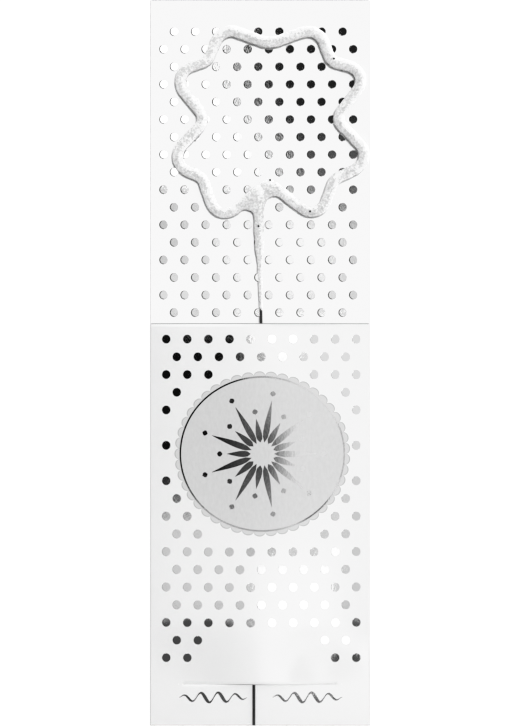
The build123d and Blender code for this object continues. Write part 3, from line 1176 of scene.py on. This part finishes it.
# Each window, in metres on the ceiling: middle x, middle y, half width, half length and softness of its
# edge, then its turn in degrees and its brightness. A later window lies over an earlier one.
CEILING_WINDOWS = [
    (-1.25, 0.05, 0.58, 1.75, 0.12, 0, 0.02),
    (-0.78, -1.25, 0.88, 0.45, 0.12, 0, 0.02),
    (0.0, 0.52, 0.60, 0.25, 0.02, 0, WHITE_PANEL),
    (0.256, 0.512, 0.32, 0.41, 0.055, 28, 0.018),
    (-0.34, 0.655, 0.285, 0.19, 0.03, 0, WHITE_PANEL),
    (-0.60, -0.035, 0.51, 0.185, 0.045, 0, 0.005),
    (0.58, -0.02, 0.31, 0.12, 0.08, 0, 0.78),
    (0.36, -0.13, 0.16, 0.09, 0.06, 0, 0.80),
    (0.505, -0.13, 0.018, 0.06, 0.02, 0, 0.30),
    (-0.03, -0.14, 0.16, 0.10, 0.10, 0, 0.06),
    (0.115, 0.033, 0.165, 0.029, 0.015, 0, WHITE_PANEL),
    (0.0, -0.008, 0.045, 0.038, 0.006, 0, 0.36),
    (0.27, -0.008, 0.06, 0.038, 0.006, 0, 0.72),
    (0.0, 0.169, 0.50, 0.105, 0.012, 0, 0.66),
    (0.02, 0.160, 0.09, 0.07, 0.045, 0, 1.02),
    (-0.17, 0.21, 0.04, 0.06, 0.03, 0, 0.54),
    (0.185, 0.19, 0.04, 0.06, 0.03, 0, 0.55),
    (0.16, 0.285, 0.10, 0.055, 0.05, 0, 0.12),
    (-0.12, 0.10, 0.07, 0.036, 0.02, 0, 0.78),
    (0.33, -0.222, 0.085, 0.020, 0.012, 12, 0.15),
    (0.205, -0.406, 0.22, 0.094, 0.006, 0, WHITE_PANEL),
    (0.453, -0.297, 0.035, 0.016, 0.006, 0, WHITE_PANEL),
    (0.40, -0.475, 0.10, 0.07, 0.015, 0, WHITE_PANEL),
    (-0.45, -0.632, 0.47, 0.23, 0.05, 0, 0.075),
    (0.765, -0.612, 0.26, 0.21, 0.04, 0, 0.10),
    (0.41, -0.70, 0.06, 0.10, 0.03, 0, WHITE_PANEL),
    (0.275, -0.70, 0.075, 0.11, 0.02, 0, 0.08),
    (0.30, -0.592, 0.065, 0.05, 0.015, 0, 0.08),
    (0.10, -0.53, 0.14, 0.05, 0.015, 0, 0.14),
]


def window_mask(tree, place, window):
    """Soft-edged rectangle on the ceiling."""
    x, y, half_width, half_length, softness, turn, level = window
    inputs = {"Vector": place, "Location": (x, y, 0), "Rotation": (0, 0, math.radians(turn))}
    local = add_node(tree, "ShaderNodeMapping", inputs, vector_type="TEXTURE").outputs[0]
    parts = add_node(tree, "ShaderNodeSeparateXYZ", {0: local}).outputs
    sides = []
    for part, half in (("X", half_width), ("Y", half_length)):
        out = math_node(tree, "ABSOLUTE", parts[part])
        sides.append(soft_step(tree, out, half + softness, half - softness))
    return math_node(tree, "MULTIPLY", *sides)


def ceiling_light():
    """Emission of the whole ceiling, one window over the other."""
    material = bpy.data.materials.new("ceiling_light")
    material.use_nodes = True
    tree = material.node_tree
    tree.nodes.clear()
    place = add_node(tree, "ShaderNodeTexCoord").outputs["Object"]
    level = grey(CEILING_GREY)
    for window in CEILING_WINDOWS:
        level = mix_colour(tree, window_mask(tree, place, window), level, grey(window[-1]))
    glow = add_node(tree, "ShaderNodeEmission", {"Color": level})
    add_node(tree, "ShaderNodeOutputMaterial", {"Surface": glow.outputs[0]})
    return material


flat_stage("ceiling", CEILING_HALF, CEILING_HEIGHT, ceiling_light())
print("ceiling has", len(CEILING_WINDOWS), "windows")

# %% Lamp beside the lens
LAMP_AWAY = 2.3
LAMP_RISE = math.radians(79)
LAMP_SIDE = math.radians(42)
LAMP_SIZE = 0.25
LAMP_POWER = 44.0


def hang_light(name, shape, power, side, rise, away):
    """Hangs an area light that faces the card, and that foil doesn't show."""
    data = bpy.data.lights.new(name, "AREA")
    data.shape = shape
    data.energy = power
    light = bpy.data.objects.new(name, data)
    flat = Vector((math.cos(side), math.sin(side), 0)) * math.cos(rise)
    toward = flat + Vector((0, 0, math.sin(rise)))
    light.location = toward * away
    light.rotation_euler = toward.to_track_quat("Z", "Y").to_euler()
    light.visible_glossy = False
    scene.collection.objects.link(light)
    return light


lens_lamp = hang_light("lens_lamp", "DISK", LAMP_POWER, LAMP_SIDE, LAMP_RISE, LAMP_AWAY)
lens_lamp.data.size = LAMP_SIZE
print("lamp of", LAMP_POWER, "W beside the lens")

# %% Softbox
KEY_SIDE = math.radians(42)
KEY_RISE = math.radians(1.8)
KEY_AWAY = 1.6
KEY_WIDE = 2.8
KEY_TALL = 0.07
KEY_POWER = 95.0

key_light = hang_light("key_softbox", "RECTANGLE", KEY_POWER, KEY_SIDE, KEY_RISE, KEY_AWAY)
key_light.data.size = KEY_WIDE
key_light.data.size_y = KEY_TALL
key_light.data.cycles.max_bounces = 0
lit_by_key = bpy.data.collections.new("lit_by_key")
lit_by_key.objects.link(paste_coat)
key_light.light_linking.receiver_collection = lit_by_key

# %% Surroundings
ROOM_DIM = 0.03
ROOM_LIGHT = 0.5
CORNER_TOWARD = (-0.77, -0.64, 0)
CORNER_LEAN = (0.25, 0.75)
CORNER_RISE = (0.80, 0.60)


def room():
    """Bright white surroundings, with a dim corner low down at the lower left."""
    world = bpy.data.worlds.new("room")
    world.use_nodes = True
    tree = world.node_tree
    toward = add_node(tree, "ShaderNodeTexCoord").outputs["Generated"]
    inputs = {0: toward, 1: CORNER_TOWARD}
    lean = add_node(tree, "ShaderNodeVectorMath", inputs, operation="DOT_PRODUCT").outputs["Value"]
    rise = add_node(tree, "ShaderNodeSeparateXYZ", {0: toward}).outputs["Z"]
    sides = soft_step(tree, lean, *CORNER_LEAN), soft_step(tree, rise, *CORNER_RISE)
    corner = math_node(tree, "MULTIPLY", *sides)
    colour = mix_greys(tree, corner, ROOM_LIGHT, ROOM_DIM)
    fill_inputs(tree, tree.nodes["Background"], {"Color": colour})
    return world


scene.world = room()
print("surroundings", scene.world.name)

# %% [markdown]
# ## Tones
# Catalogue pictures are finished with a tone curve: greys keep their place, and everything near the
# paper's white is drawn together, so that paper stays even and loses its faint shadows. Only what is
# brighter than paper goes on to full white. The scene's own view curve does it.

# %% Tone curve
CURVE_WHITE = 2.0
# Points of the curve: brightness in the scene, tone in the picture
TONE_POINTS = [
    (0.10, 0.08),
    (0.30, 0.29),
    (0.50, 0.50),
    (0.70, 0.69),
    (0.80, 0.77),
    (0.90, 0.88),
    (0.97, 0.92),
    (1.02, 0.933),
    (1.12, 0.940),
    (1.20, 0.970),
    (1.45, 0.998),
]

scene.view_settings.view_transform = "Standard"
scene.view_settings.use_curve_mapping = True
tones = scene.view_settings.curve_mapping
tones.white_level = (CURVE_WHITE, CURVE_WHITE, CURVE_WHITE)
all_channels = tones.curves[3]
for scene_tone, shown_tone in TONE_POINTS:
    all_channels.points.new(scene_tone / CURVE_WHITE, shown_tone)
tones.update()
print("tone curve has", len(all_channels.points), "points")
